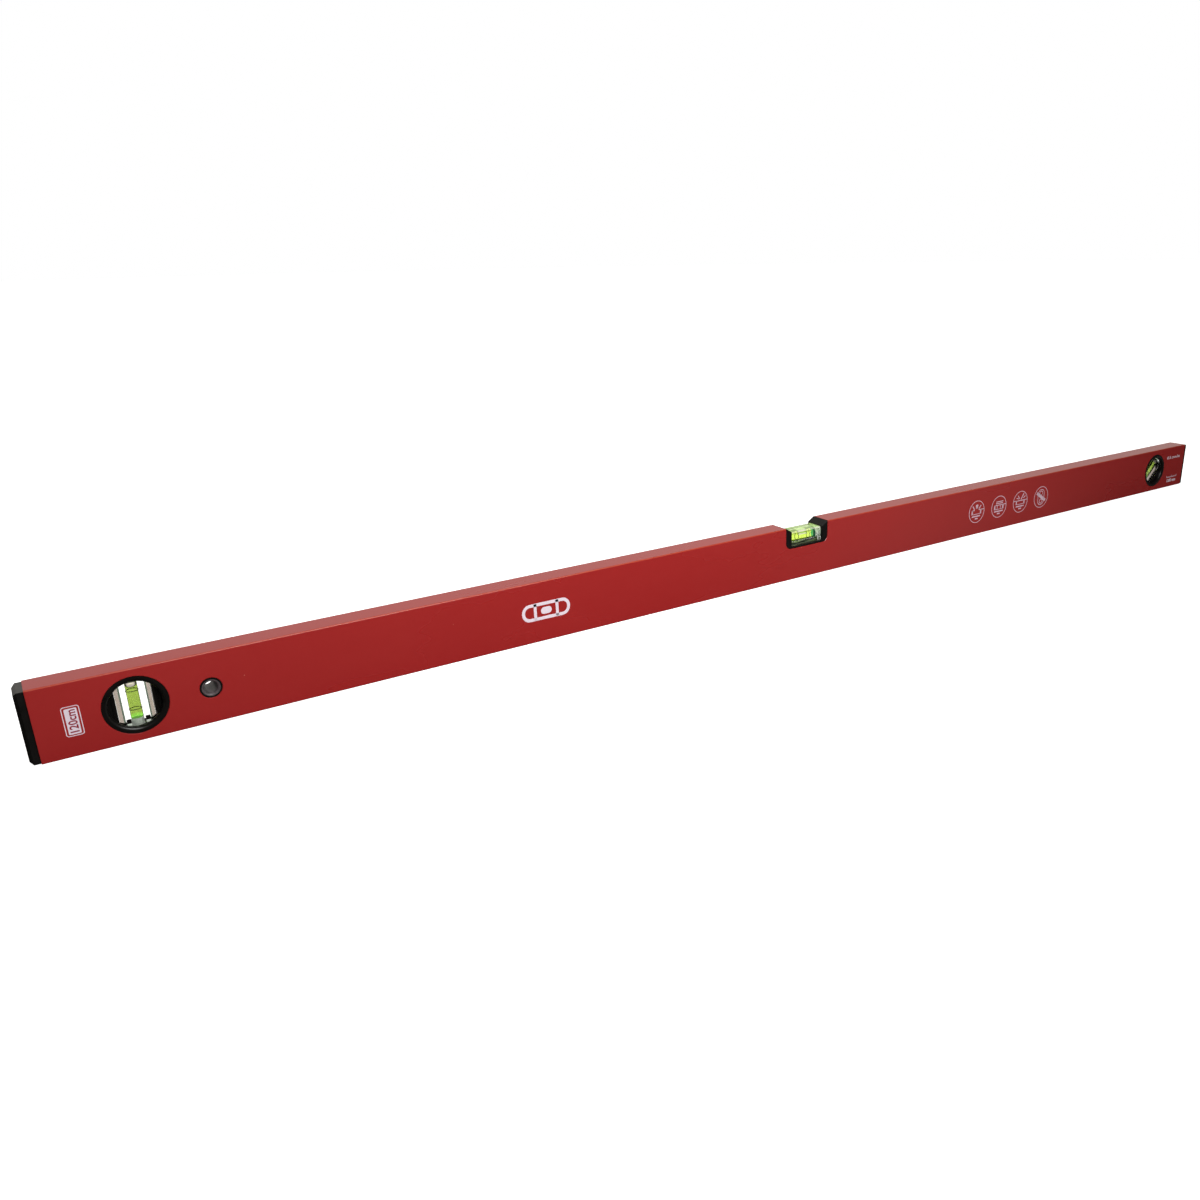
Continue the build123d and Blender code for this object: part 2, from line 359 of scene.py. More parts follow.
class FinishSheet(NodeSheet):
    """A material's tree: one shader, and patterns on the object's own coordinates."""

    noise_reach = (0.3, 0.7)

    def __init__(self, name: str) -> None:
        """Start a material of this name."""
        self.material = bpy.data.materials.new(name)
        self.material.use_nodes = True
        super().__init__(self.material.node_tree)
        self.shader = self.tree.nodes.new("ShaderNodeBsdfPrincipled")
        self.close("Material", self.shader.outputs["BSDF"])
        self.place = self.add("TexCoord", {}, "Object")

    def shade(self, **feeds: Feed) -> None:
        """Feed the shader's own sockets, underscores standing for spaces."""
        for name, feed in feeds.items():
            self.feed(self.shader.inputs[name.replace("_", " ")], feed)

    def noise(self, scale: float, detail: float, stretch: Sequence[float] = (1.0, 1.0, 1.0)) -> Socket:
        """Add a noise texture.

        Args:
            scale: cells per metre.
            detail: how many finer layers are added.
            stretch: a factor on the scale along each axis.

        Returns:
            The noise's value.
        """
        place = self.add("Mapping", {"Vector": self.place, "Scale": stretch})
        return self.add("TexNoise", {"Vector": place, "Scale": scale, "Detail": detail}, "Fac")

    def spread(self, noise: Socket, low: float = 0.0, high: float = 1.0) -> Socket:
        """Map the middle of a noise, where most of it lies, on to a range."""
        return self.ramp(noise, (*self.noise_reach, low, high), "LINEAR")

    def mix(self, factor: Socket, low: Socket | Colour, high: Colour) -> Socket:
        """Mix two colours, the first where the factor is 0."""
        return self.add("Mix", {0: factor, 6: low, 7: high}, 2, data_type="RGBA")

    def off_middle(self) -> Socket:
        """How far a point lies from the tool's middle plane."""
        return self.add("Math", {0: self.split(self.place)[1]}, operation="ABSOLUTE")

    def bump(self, strength: float, *layers: tuple[Socket, float]) -> None:
        """Chain height layers into the shader's normal.

        Args:
            strength: the strength of every layer.
            layers: each layer's value and its height in metres.
        """
        before = {}
        for value, height in layers:
            feeds = {"Strength": strength, "Distance": height, "Height": value} | before
            before = {"Normal": self.add("Bump", feeds)}
        self.shade(**before)


@dataclass(frozen=True)
class PowderCoat:
    """Red powder coat: satin, with a fine orange peel, faint clouds of tone, a few dust nibs and a painted
    highlight along the two upper long edges.
    """

    red: Colour = (0.415, 0.0215, 0.0205)
    deep_red: Colour = (0.385, 0.0185, 0.0180)
    nib_red: Colour = (0.62, 0.17, 0.13)
    # painted highlight: a brighter orange red for the light that the upper long edges catch
    painted_highlight_red: Colour = (0.50, 0.060, 0.030)
    roughness: Pair = (0.25, 0.31)
    edge_height: float = 47.25 * MM
    edge_depth: float = 9.25 * MM
    peel_per_metre: float = 1500.0
    peel_height: float = 0.00002
    cloud_per_metre: float = 14.0
    nibs_per_metre: float = 55.0
    nib_radius: float = 0.020
    bare_cells: float = 0.55

    def build(self) -> Material:
        """Make the material."""
        sheet = FinishSheet("red_powder_coat")
        cloud = sheet.noise(self.cloud_per_metre, 4.0, (0.35, 1.0, 1.0))
        peel = sheet.noise(self.peel_per_metre, 2.0)
        grit = sheet.noise(self.peel_per_metre * 4.0, 2.0)
        paint = sheet.mix(sheet.spread(cloud), self.deep_red, self.red)
        specks = sheet.mix(self.nibs(sheet), paint, self.nib_red)
        # the painted edge highlight goes over the coat along the two upper long edges
        coat = sheet.mix(self.painted_edge_highlight(sheet), specks, self.painted_highlight_red)
        sheet.shade(Base_Color=coat, Roughness=sheet.spread(cloud, *self.roughness), Specular_IOR_Level=0.5)
        sheet.bump(0.3, (peel, self.peel_height), (grit, self.peel_height / 4))
        return sheet.material

    def painted_edge_highlight(self, sheet: FinishSheet) -> Socket:
        """Mark the two upper long edges, where a brighter orange red is painted on as an edge highlight.

        Args:
            sheet: the material's sheet.

        Returns:
            1 along the edges and 0 elsewhere.
        """
        outer = sheet.maths("GREATER_THAN", sheet.off_middle(), self.edge_depth)
        upper = sheet.maths("GREATER_THAN", sheet.split(sheet.place)[2], self.edge_height)
        return sheet.maths("MULTIPLY", outer, upper)

    def nibs(self, sheet: FinishSheet) -> Socket:
        """Mark the few cells of a coarse pattern that hold a dust nib.

        Args:
            sheet: the material's sheet.

        Returns:
            1 on a nib and 0 elsewhere.
        """
        cell = {"Vector": sheet.place, "Scale": self.nibs_per_metre}
        middle = sheet.add("TexVoronoi", cell, "Distance")
        lot = sheet.add("SeparateColor", {"Color": middle.node.outputs["Color"]}, "Red")
        small = sheet.maths("LESS_THAN", middle, self.nib_radius)
        return sheet.maths("MULTIPLY", small, sheet.maths("GREATER_THAN", lot, self.bare_cells))


@dataclass(frozen=True)
class MouldedPlastic:
    """Black moulded plastic or rubber with a fine spark-eroded grain."""

    name: str
    roughness: Pair
    gloss: float = 0.5
    black: Colour = (0.0048, 0.0042, 0.0038)
    worn: Colour = (0.0075, 0.0066, 0.0060)
    patch_per_metre: float = 90.0
    grain_per_metre: float = 2600.0
    grain_height: float = 0.00002

    def build(self) -> Material:
        """Make the material."""
        sheet = FinishSheet(self.name)
        patch = sheet.noise(self.patch_per_metre, 4.0)
        colour = sheet.mix(sheet.spread(patch), self.black, self.worn)
        rough = sheet.spread(patch, *self.roughness)
        sheet.shade(Base_Color=colour, Roughness=rough, Specular_IOR_Level=self.gloss)
        sheet.bump(0.4, (sheet.noise(self.grain_per_metre, 2.0), self.grain_height))
        return sheet.material


@dataclass(frozen=True)
class BushPlastic:
    """Plastic of the hanging hole's bush: black round the mouth, with a grey painted reflection inside the
    bore.
    """

    black: Colour = (0.0046, 0.0040, 0.0038)
    # painted reflection: the grey that the bore's inner wall shows from the light above
    painted_reflection_grey: Colour = (0.135, 0.108, 0.116)
    dark: Colour = (0.060, 0.048, 0.050)
    roughness: Pair = (0.34, 0.48)
    mouth_radius: float = 5.6 * MM
    smear_per_metre: float = 420.0
    smear_height: float = 0.00008

    def build(self, centre: Vector) -> Material:
        """Make the material.

        Args:
            centre: the middle of the hole.

        Returns:
            The material.
        """
        sheet = FinishSheet("bush_plastic")
        smear = sheet.noise(self.smear_per_metre, 4.0, (1.0, 0.35, 1.4))
        # painted reflection: the bore's inside is mottled between dark and grey, and the mouth keeps the
        # plastic's black
        inner = sheet.mix(sheet.spread(smear), self.dark, self.painted_reflection_grey)
        flat = sheet.add("VectorMath", {0: sheet.place, 1: (1.0, 0.0, 1.0)}, operation="MULTIPLY")
        middle = (centre.x, 0.0, centre.z)
        reach = sheet.add("VectorMath", {0: flat, 1: middle}, "Value", operation="DISTANCE")
        lip = sheet.maths("GREATER_THAN", reach, self.mouth_radius)
        rough = sheet.spread(smear, *self.roughness)
        sheet.shade(Base_Color=sheet.mix(lip, inner, self.black), Roughness=rough, Specular_IOR_Level=0.4)
        sheet.bump(0.5, (smear, self.smear_height))
        return sheet.material


@dataclass(frozen=True)
class StreakedFloor:
    """What shows under the upper vial: a dark moulded floor with olive streaks along it and a pale rim,
    glowing as painted light.
    """

    dark: Colour = (0.004, 0.008, 0.004)
    olive: Colour = (0.20, 0.27, 0.11)
    pale: Colour = (0.62, 0.64, 0.50)
    streak: Slope = (0.48, 0.62, 0.0, 1.0)
    streaks_per_metre: float = 420.0
    streak_height: float = 0.2 * MM
    roughness: Pair = (0.3, 0.5)
    rim: float = 6.6 * MM
    # painted light: the floor's colours glow, though nothing there is a lamp
    glow: float = 0.4

    def build(self) -> Material:
        """Make the material."""
        sheet = FinishSheet("streaked_floor")
        streaks = sheet.noise(self.streaks_per_metre, 3.0, (0.10, 1.0, 1.6))
        body = sheet.mix(sheet.ramp(streaks, self.streak, "LINEAR"), self.dark, self.olive)
        # painted highlight: a pale band along the front and rear edges
        rim = sheet.maths("GREATER_THAN", sheet.off_middle(), self.rim)
        colour = sheet.mix(rim, body, self.pale)
        rough = sheet.spread(streaks, *self.roughness)
        # the painted glow makes the olive streaks and the pale rim shine as highlights
        sheet.shade(Base_Color=colour, Emission_Color=colour, Emission_Strength=self.glow, Roughness=rough)
        sheet.bump(0.4, (streaks, self.streak_height))
        return sheet.material


@dataclass(frozen=True)
class AirBubble:
    """Air in the vial: dark at its rim, and pale where it faces the eye through a painted glow."""

    name: str
    glow_colour: Colour
    # strength of the painted glow that stands for the light seen through the bubble
    glow: float
    tint: Colour = (0.30, 0.27, 0.26)
    shade: Colour = (0.24, 0.216, 0.208)
    index: float = 0.735
    drift_per_metre: float = 260.0
    facing: float = 0.35
    rim: Pair = (0.42, 0.12)

    def build(self) -> Material:
        """Make the material."""
        sheet = FinishSheet(self.name)
        drift = sheet.noise(self.drift_per_metre, 2.0)
        colour = sheet.mix(sheet.spread(drift), self.tint, self.shade)
        # painted highlight: the glow is strongest where the bubble faces the eye and fades towards its rim
        facing = sheet.add("LayerWeight", {"Blend": self.facing}, "Facing")
        glow = sheet.ramp(facing, (*self.rim, 0.0, self.glow))
        sheet.shade(Base_Color=colour, IOR=self.index, Roughness=0.0, Transmission_Weight=1.0)
        sheet.shade(Emission_Color=self.glow_colour, Emission_Strength=glow)
        return sheet.material


@dataclass(frozen=True)
class ClearSolid:
    """Smooth refracting solid, acrylic or vial liquid, with a slow drift between two tints and an optional
    painted glow.

    The liquid's index is against the acrylic that encloses it, and so is below 1.
    """

    name: str
    index: float
    tint: Colour
    shade: Colour
    glow_colour: Colour = (0.0, 0.0, 0.0)
    glow: Pair = (0.0, 0.0)
    ripple_per_metre: float = 140.0
    ripple_height: float = 0.000004
    stretch: Triple = (1.0, 1.0, 1.0)

    def build(self) -> Material:
        """Make the material."""
        sheet = FinishSheet(self.name)
        drift = sheet.noise(self.ripple_per_metre, 2.0, self.stretch)
        colour = sheet.mix(sheet.spread(drift), self.tint, self.shade)
        sheet.shade(Base_Color=colour, IOR=self.index, Roughness=0.0, Transmission_Weight=1.0)
        sheet.bump(0.2, (drift, self.ripple_height))
        # painted light: the solid glows, though it is no lamp
        if max(self.glow) > 0.0:
            sheet.shade(Emission_Color=self.glow_colour, Emission_Strength=sheet.spread(drift, *self.glow))
        return sheet.material


@dataclass(frozen=True)
class Ink:
    """Printed ink, or the dull plastic of a vial's plug: a flat colour, slightly uneven, with an optional
    painted glow.
    """

    name: str
    full: Colour
    thin: Colour
    glow: float = 0.0
    roughness: Pair = (0.45, 0.57)
    grain_per_metre: float = 1200.0
    grain_height: float = 0.000006

    def build(self) -> Material:
        """Make the material."""
        sheet = FinishSheet(self.name)
        cover = sheet.noise(self.grain_per_metre, 4.0)
        colour = sheet.mix(sheet.spread(cover), self.thin, self.full)
        sheet.shade(Base_Color=colour, Roughness=sheet.spread(cover, *self.roughness))
        sheet.bump(0.25, (cover, self.grain_height))
        # painted light: the colour glows, though it is no lamp
        if self.glow:
            sheet.shade(Emission_Color=self.full, Emission_Strength=self.glow)
        return sheet.material


class Palette:
    """Every finish of the tool, each made once."""

    acrylic_index = 1.49
    liquid_index = 0.913

    def __init__(self) -> None:
        """Build the materials."""
        low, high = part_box("hang_bush_front")
        self.powder = PowderCoat().build()
        self.bush = BushPlastic().build((low + high) / 2)
        self.floor = StreakedFloor().build()
        self.moulded()
        self.clear()
        self.liquids()
        self.inks()

    def moulded(self) -> None:
        """Build the black plastics."""
        self.cap = MouldedPlastic("cap_rubber", (0.34, 0.42)).build()
        self.housing = MouldedPlastic("housing_plastic", (0.26, 0.34), gloss=0.42).build()
        self.yoke = MouldedPlastic("yoke_plastic", (0.46, 0.56), gloss=0.2, grain_height=0.00003).build()

    def clear(self) -> None:
        """Build the finishes of the clear blocks: polished faces, a painted green glow for the upper block's
        top, and bevels tinted with painted reflection and painted highlight.
        """
        index = self.acrylic_index
        self.acrylic = ClearSolid("clear_acrylic", index, (0.97, 0.985, 0.97), (0.94, 0.965, 0.94)).build()
        # painted light: the upper block's top face glows green for the lit liquid seen through it
        self.green_lit_glow = ClearSolid(
            "green_lit_acrylic", index, (0.60, 0.86, 0.42), (0.46, 0.74, 0.30), (0.50, 0.68, 0.24),
            (0.25, 0.72), ripple_per_metre=480.0, stretch=(0.10, 1.0, 1.0)
        ).build()
        # painted highlight: a pale glowing band on the upper block's slanted bevels
        self.pale_bevel = ClearSolid(
            "pale_bevel", index, (0.50, 0.48, 0.40), (0.42, 0.40, 0.33), (0.56, 0.54, 0.46),
            (0.45, 0.85), ripple_per_metre=300.0, stretch=(0.2, 1.0, 1.0)
        ).build()
        # painted reflection: tints for the grey-beige surroundings seen in the bevels, lighter for the
        # slanted vial, and a dark strip
        self.light_bevel = ClearSolid(
            "light_painted_reflection_bevel", index, (0.34, 0.27, 0.23), (0.28, 0.22, 0.18)
        ).build()
        self.bevel = ClearSolid("painted_reflection_bevel", index, (0.13, 0.095, 0.075), (0.10, 0.072, 0.055)).build()
        self.dark_bevel = ClearSolid(
            "dark_bevel", index, (0.010, 0.016, 0.010), (0.016, 0.024, 0.015)
        ).build()

    def liquids(self) -> None:
        """Build the liquids, with a brighter painted lit copy for the upper vial, the painted lit and shaded
        green stretches by their plugs, and the air of the bubbles with its painted glow.
        """
        index = self.liquid_index
        self.liquid = ClearSolid("vial_liquid", index, (0.265, 0.37, 0.062), (0.24, 0.34, 0.056)).build()
        # painted light: a brighter copy of the same liquid for the upper vial, lit from above
        self.bright_liquid = ClearSolid(
            "bright_vial_liquid", index, (0.56, 0.72, 0.11), (0.50, 0.68, 0.10)
        ).build()
        # painted light and shade: lighter and darker glowing copies of the liquid by the plugs
        self.light_foot = ClearSolid(
            "light_green_foot", index, (0.20, 0.58, 0.06), (0.17, 0.50, 0.05), (0.38, 0.62, 0.18),
            (0.10, 0.20)
        ).build()
        self.dark_foot = ClearSolid(
            "dark_green_foot", index, (0.008, 0.16, 0.06), (0.006, 0.12, 0.045), (0.02, 0.20, 0.08),
            (0.10, 0.22)
        ).build()
        # painted highlight: the bubbles glow, more weakly in the slanted vial
        self.air = AirBubble("bubble_air", (0.61, 0.46, 1.0), 1.6).build()
        self.dark_air = AirBubble("dark_bubble_air", (0.61, 0.46, 1.0), 0.25).build()
        self.top_air = AirBubble("top_bubble_air", (0.55, 0.47, 1.0), 1.3).build()

    def inks(self) -> None:
        """Build the inks, and the dull plastic of the plugs, which has a faint painted glow."""
        self.ring = Ink("ring_ink", (0.040, 0.070, 0.012), (0.070, 0.115, 0.020)).build()
        # painted light: the plug plastic glows faintly
        self.plug = Ink("plug_plastic", (0.66, 0.72, 0.64), (0.50, 0.58, 0.49), glow=0.14).build()
        self.print_white = Ink("print_white", (0.95, 0.84, 0.93), (0.90, 0.77, 0.87)).build()
        self.print_red = Ink("print_red", (0.36, 0.010, 0.040), (0.30, 0.010, 0.034)).build()
        self.print_thin = Ink("print_thin", (0.90, 0.66, 0.76), (0.80, 0.55, 0.65)).build()


def refinish(node: Piece, material: Material) -> None:
    """Give a solid of the frame a finish, through its object's material slots."""
    for slot in node.material_slots:
        slot.material = material


def dress(piece: Piece, *materials: Material) -> None:
    """Replace a new piece's materials by these.

    Args:
        piece: the new piece.
        materials: the finishes, the first for most faces.
    """
    piece.data.materials.clear()
    for material in materials:
        piece.data.materials.append(material)


def mount(piece: Piece, node: str = "", body: str = ROOT_BODY) -> None:
    """Let a finished piece ride on its body, and log it.

    Args:
        piece: the finished piece.
        node: the frame's solid that it stands for, if there is one.
        body: the body that it rides on.
    """
    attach(piece, body)
    if node:
        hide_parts(node)
    LOG.info("%-28s %6d faces", piece.name, len(piece.data.polygons))


# ---------------------------------------- sub-assemblies


@dataclass
class VialUnit:
    """One round window with its clear block, liquid and bubble, turned to its own angle.

    The pieces are modelled upright at the origin, with the vial along Z, and then put in place.
    """

    prefix: str
    turn_deg: float
    palette: Palette
    block_width: float = 20.4 * MM
    block_depth: float = 13.0 * MM
    bevel: float = 3.35 * MM
    end_radius: float = 16.6 * MM
    edge_round: float = 0.18 * MM
    bore_radius: float = 3.5 * MM
    bore_bottom: float = -11.0 * MM
    bore_top: float = 13.0 * MM
    bore_round: float = 0.8 * MM
    bubble_length: float = 3.4 * MM
    bubble_round: float = 1.3 * MM
    film: float = 0.14 * MM
    dark_line: float = 1.1 * MM
    foot_length: float = 2.3 * MM
    pad_reach: Pair = (4.0 * MM, 6.6 * MM)
    pad_rows: Triple = (-14.1 * MM, -12.4 * MM, -9.4 * MM)
    pad_thickness: float = 0.25 * MM
    pad_round: float = 0.1 * MM

    def place(self) -> Matrix:
        """The unit's place: the centre of its hole, turned about Y."""
        low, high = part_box(f"{self.prefix}_front_housing")
        centre = Vector(((low.x + high.x) / 2, 0.0, (low.z + high.z) / 2))
        return Matrix.Translation(centre) @ Matrix.Rotation(math.radians(self.turn_deg), 4, "Y")

    def block(self) -> Piece:
        """Model the clear block: a thick disc cut to width, with bevels on its long edges that carry a
        painted reflection.
        """
        half_width, half_depth = self.block_width / 2, self.block_depth / 2
        inner = half_width - self.bevel
        piece = add_rod(self.end_radius, -half_depth, half_depth, Axis.Y, 128)
        for side in (-1, 1):
            cut(piece, (side * half_width, 0, 0), (side, 0, 0))
        for side in (-1, 1):
            for front in (-1, 1):
                cut(piece, (side * inner, front * half_depth, 0), Vector((side, front, 0)).normalized())
        soften(piece, self.edge_round)
        # a seam on each bevel, inside which lies a dark painted reflection strip
        for side in (-1, 1):
            cut(piece, (side * (inner + self.dark_line), 0, 0), (side, 0, 0), keep_both=True)
        # painted reflection: the bevels take a surroundings tint, and their inner strips a dark one
        bevel = self.palette.bevel if self.turn_deg == 0.0 else self.palette.light_bevel
        dress(piece, self.palette.acrylic, bevel, self.palette.dark_bevel)
        for face in piece.data.polygons:
            slants = abs(face.normal.x) > SLANTING and abs(face.normal.y) > SLANTING
            if slants and face.area > self.bevel**2:
                face.material_index = 2 if abs(face.center.x) < inner + self.dark_line else 1
        return settle(piece, f"{self.prefix}_clear_block", self.place())

    def liquid(self) -> Piece:
        """Model the column of liquid, with a brighter, glowing green painted over the plug's face as painted
        light.
        """
        piece = add_rod(self.bore_radius, self.bore_bottom, self.bore_top, Axis.Z)
        round_ends(piece, Axis.Z, self.bore_round, 5)
        foot = self.bore_bottom + self.foot_length
        cut(piece, (0, 0, foot), (0, 0, 1), keep_both=True)
        # painted light: the stretch over the plug is a brighter, glowing copy of the liquid
        dress(piece, self.palette.liquid, self.palette.light_foot)
        for face in piece.data.polygons:
            face.material_index = int(face.center.z < foot)
        return settle(piece, f"{self.prefix}_liquid", self.place())

    def bubble(self) -> Piece:
        """Model the bubble at the upper end of the bore."""
        top = self.bore_top - self.film
        piece = add_rod(self.bore_radius - self.film, top - self.bubble_length, top, Axis.Z)
        round_ends(piece, Axis.Z, self.bubble_round, 6)
        # painted highlight: the bubble glows, more weakly in the slanted vial
        dress(piece, self.palette.air if self.turn_deg == 0.0 else self.palette.dark_air)
        return settle(piece, f"{self.prefix}_air_bubble", self.place())

    def pads(self) -> Piece:
        """Model strips under the block's foot, a pair on each side of the bore, as painted reflection: a
        pale lower row for the white reflection at the block's bottom, a dark upper row for the refracted
        rear lip.
        """
        front = -self.block_depth / 2
        foot_strips = []
        for side in (-1, 1):
            near, far = sorted(side * reach for reach in self.pad_reach)
            for bottom, top in zip(self.pad_rows, self.pad_rows[1:]):
                low = Vector((near, front - self.pad_thickness, bottom))
                foot_strip = add_box(low, Vector((far, front, top - self.pad_thickness / 2)))
                soften(foot_strip, self.pad_round)
                foot_strips.append(foot_strip)
        piece = join_pieces(foot_strips)
        # painted reflection: the lower row takes the plug's pale, glowing finish, the upper row the
        # housing's black
        dress(piece, self.palette.housing, self.palette.plug)
        for face in piece.data.polygons:
            face.material_index = int(face.center.z < self.pad_rows[1])
        return settle(piece, f"{self.prefix}_pads", self.place())

    def build(self, nodes: dict[str, Piece]) -> None:
        """Build the unit's pieces and dress the frame's own.

        Args:
            nodes: the frame's nodes by name.
        """
        for side in ("front", "rear"):
            refinish(nodes[f"{self.prefix}_{side}_housing"], self.palette.housing)
        refinish(nodes[f"{self.prefix}_vial_rings"], self.palette.ring)
        refinish(nodes[f"{self.prefix}_vial_plug"], self.palette.plug)
        mount(self.block(), f"{self.prefix}_vial_block")
        mount(self.liquid(), f"{self.prefix}_vial_liquid")
        bubble = f"{self.prefix}_bubble"
        mount(self.bubble(), bubble, bubble)
        # the upright vial gets the painted reflection strips under its block
        if self.turn_deg == 0.0:
            mount(self.pads())


@dataclass
class TopVial:
    """The vial in the notch of the upper edge, modelled in place along X."""

    palette: Palette
    edge_round: float = 0.18 * MM
    bevel: float = 1.3 * MM
    bore_radius: float = 3.5 * MM
    bore_half: float = 13.6 * MM
    bore_round: float = 0.8 * MM
    bubble_half: float = 5.5 * MM
    bubble_round: float = 3.0 * MM
    bubble_floor: float = 1.5 * MM
    bubble_rim: float = 0.5 * MM
    film: float = 0.14 * MM
    foot_length: float = 2.5 * MM
    baffle_inset: float = 0.5 * MM
    baffle_half: float = 0.3 * MM

    def axis_place(self) -> Matrix:
        """The vial's centre, taken from the frame's rings."""
        low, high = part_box("level_vial_rings")
        return Matrix.Translation((low + high) / 2)

    def block(self) -> Piece:
        """Model the clear block with softly rounded edges."""
        low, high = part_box("level_vial_block")
        piece = add_box(low, high)
        for front in (-1, 1):
            cut(piece, (0, high.y * front, high.z - self.bevel), Vector((0, front, 1)).normalized())
        soften(piece, self.edge_round)
        palette = self.palette
        # painted light: a green glow on the top face, a pale painted highlight on the slanted bevels, and
        # the glowing streaked floor on the bottom
        dress(piece, palette.acrylic, palette.pale_bevel, palette.green_lit_glow, palette.floor)
        for face in piece.data.polygons:
            if face.area < self.bevel**2:
                continue
            if face.normal.z > SLANTING:
                face.material_index = 1 if abs(face.normal.y) > SLANTING else 2
            elif face.normal.z < -ALONG:
                face.material_index = 3
        return settle(piece, "level_clear_block", Matrix.Identity(4))

    def liquid(self) -> Piece:
        """Model the column of liquid, a brighter copy painted for the light from above, with a painted shade
        of dark green next to the plug.
        """
        piece = add_rod(self.bore_radius, -self.bore_half, self.bore_half, Axis.X)
        round_ends(piece, Axis.X, self.bore_round, 5)
        foot = self.bore_half - self.foot_length
        cut(piece, (foot, 0, 0), (1, 0, 0), keep_both=True)
        # painted light and shade: the column is the brighter lit copy of the liquid, and the stretch by the
        # plug a darker, faintly glowing copy
        dress(piece, self.palette.bright_liquid, self.palette.dark_foot)
        for face in piece.data.polygons:
            face.material_index = int(face.center.x > foot)
        return settle(piece, "level_liquid", self.axis_place())

    def bubble(self) -> Piece:
        """Model the bubble: the upper part of a rounded rod, with a soft lower rim."""
        piece = add_rod(self.bore_radius - self.film, -self.bubble_half, self.bubble_half, Axis.X)
        round_ends(piece, Axis.X, self.bubble_round, 8)
        cut(piece, (0, 0, self.bubble_floor), (0, 0, -1))
        soften(piece, self.bubble_rim, 4, 50.0)
        dress(piece, self.palette.top_air)
        return settle(piece, "level_air_bubble", self.axis_place(), 60.0)

    def baffle(self) -> Piece:
        """Model the thin moulded strip inside the block, from its floor to the foot of the bore."""
        low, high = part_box("level_vial_block")
        foot = self.axis_place().translation.z - self.bore_radius
        inset = Vector((self.baffle_inset, 0.0, 0.0))
        depth = Vector((0.0, self.baffle_half, 0.0))
        first = Vector((low.x, 0.0, low.z + self.film)) + inset - depth
        piece = add_box(first, Vector((high.x, 0.0, foot - self.film)) - inset + depth)
        soften(piece, self.film, 3)
        # the streaked floor's finish, with its painted glow
        dress(piece, self.palette.floor)
        return settle(piece, "level_baffle", Matrix.Identity(4))

    def build(self, nodes: dict[str, Piece]) -> None:
        """Build the vial's pieces and dress the frame's own.

        Args:
            nodes: the frame's nodes by name.
        """
        refinish(nodes["level_vial_frame"], self.palette.yoke)
        refinish(nodes["level_vial_rings"], self.palette.ring)
        refinish(nodes["level_vial_plug"], self.palette.plug)
        mount(self.block(), "level_vial_block")
        mount(self.liquid(), "level_vial_liquid")
        mount(self.bubble(), "level_bubble", "level_bubble")
        mount(self.baffle())


@dataclass
class Extrusion:
    """The painted box section, its two caps and the bush of the hanging hole."""

    palette: Palette

    def build(self, nodes: dict[str, Piece]) -> None:
        """Dress the frame's own pieces.

        Args:
            nodes: the frame's nodes by name.
        """
        refinish(nodes["body_extrusion"], self.palette.powder)
        for side in ("left", "right"):
            refinish(nodes[f"{side}_end_cap"], self.palette.cap)
        for side in ("front", "rear"):
            refinish(nodes[f"hang_bush_{side}"], self.palette.bush)


class Pictogram(Enum):
    """Small signs in the rings, as strokes: start, end and width in millimetres from the ring's centre."""

    SHINING = (
        (-6.7, 1.4, -6.7, -2.4, 1.7), (5.9, 1.4, 5.9, -2.4, 1.7), (-7.2, 1.7, -3.4, 1.7, 0.8),
        (3.0, 1.7, 10.9, 1.7, 0.8), (-6.7, -2.5, 5.9, -2.5, 0.6), (-0.5, 3.6, -1.3, 7.0, 1.1),
        (0.5, 3.6, 1.3, 7.0, 1.1), (0.0, 3.4, 0.0, 7.4, 0.9), (-3.8, 2.6, -6.2, 6.2, 1.1),
        (3.2, 2.6, 5.8, 6.0, 1.1), (-6.6, -4.7, 5.2, -4.7, 1.3), (-1.9, -7.2, 1.9, -7.2, 1.3),
    )
    STACKED = (
        (-6.4, 1.4, -6.4, -2.4, 2.0), (6.2, 1.4, 6.2, -2.4, 2.0), (-7.2, 1.7, 10.9, 1.7, 0.8),
        (-6.7, -2.5, 6.2, -2.5, 0.6), (-2.6, 1.4, -2.6, -2.4, 0.7), (2.4, 1.4, 2.4, -2.4, 0.7),
        (-4.8, 3.6, 5.6, 3.6, 0.9), (-4.2, 5.4, 6.0, 5.4, 0.9), (-6.6, -4.7, 6.2, -4.7, 1.3),
        (-1.9, -7.2, 1.9, -7.2, 1.3),
    )
    LEANING = (
        (-6.3, 1.2, -6.3, -2.4, 1.7), (6.0, 1.2, 6.0, -2.4, 1.7), (-10.9, 1.7, -7.4, 1.7, 0.8),
        (-6.3, 1.4, 10.9, 1.4, 0.9), (-6.3, -2.5, 6.0, -2.5, 0.6), (1.0, 2.6, 4.6, 8.2, 1.3),
        (-6.0, 4.4, -3.0, 3.4, 0.9), (-4.2, 6.8, -1.6, 3.8, 0.9), (4.8, 3.6, 7.6, 5.6, 0.9),
        (-6.4, -4.7, 5.8, -4.7, 1.3), (-1.9, -7.2, 1.9, -7.2, 1.3),
    )
    CROSSED = ((-6.3, 4.5, 6.6, -3.9, 3.2),)


